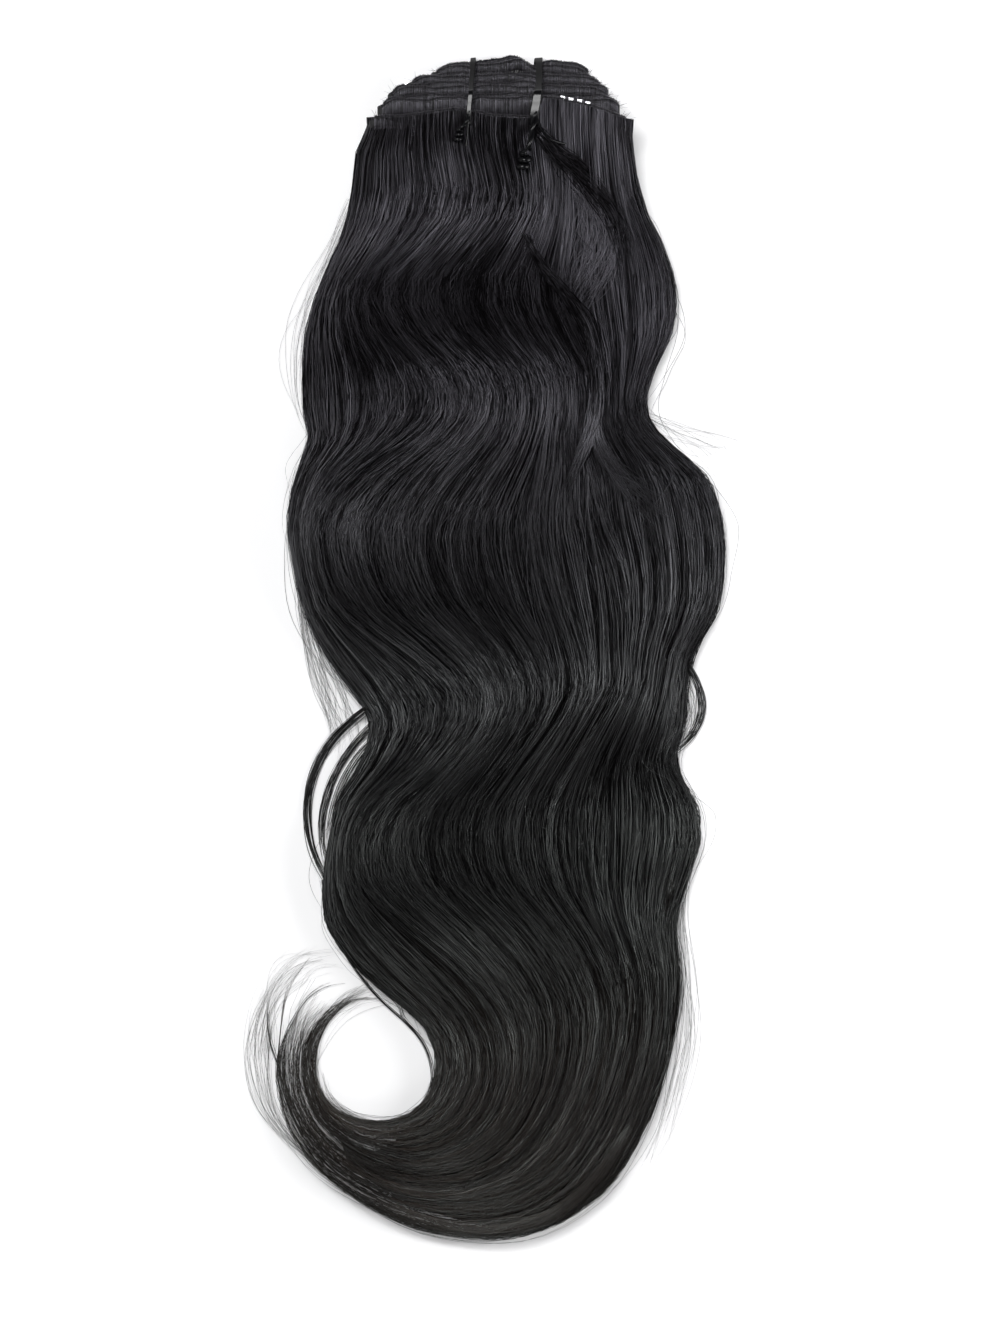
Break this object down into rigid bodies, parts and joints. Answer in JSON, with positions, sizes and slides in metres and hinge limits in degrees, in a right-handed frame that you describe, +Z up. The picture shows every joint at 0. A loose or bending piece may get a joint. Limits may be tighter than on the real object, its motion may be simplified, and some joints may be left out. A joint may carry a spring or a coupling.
{
  "type": "clip-in hair extension bundle, folded, stacked and tied",
  "caption": "Long wavy black hair on stacked sewn wefts with hidden snap clips, held by soft ties and laid flat with the tips in an open curl.",
  "frame": {"origin": "on the table under the middle of the bundle's box", "axes": "+X to the right as the bundle is seen from above with its bands at the top, +Y along the hair towards the bands, +Z up from the table"},
  "size_m": [0.1796, 0.4698, 0.0332],
  "materials": {
    "hair": "smooth black human hair with a soft sheen along the strands, brown at the tips",
    "clip_metal": "bright spring steel",
    "tie_strap": "black soft twist tie, smooth and slightly shiny"
  },
  "bodies": {
    "root": {"weft_1": "hair", "weft_2": "hair", "weft_3": "hair", "weft_4": "hair", "weft_5": "hair", "clip_1_left": "clip_metal", "clip_1_right": "clip_metal", "clip_2_left": "clip_metal", "clip_2_right": "clip_metal", "clip_3_left": "clip_metal", "clip_3_right": "clip_metal", "clip_4_left": "clip_metal", "clip_4_right": "clip_metal", "clip_5_left": "clip_metal", "clip_5_right": "clip_metal", "tie_left": "tie_strap", "tie_right": "tie_strap"}
  },
  "joints": []
}
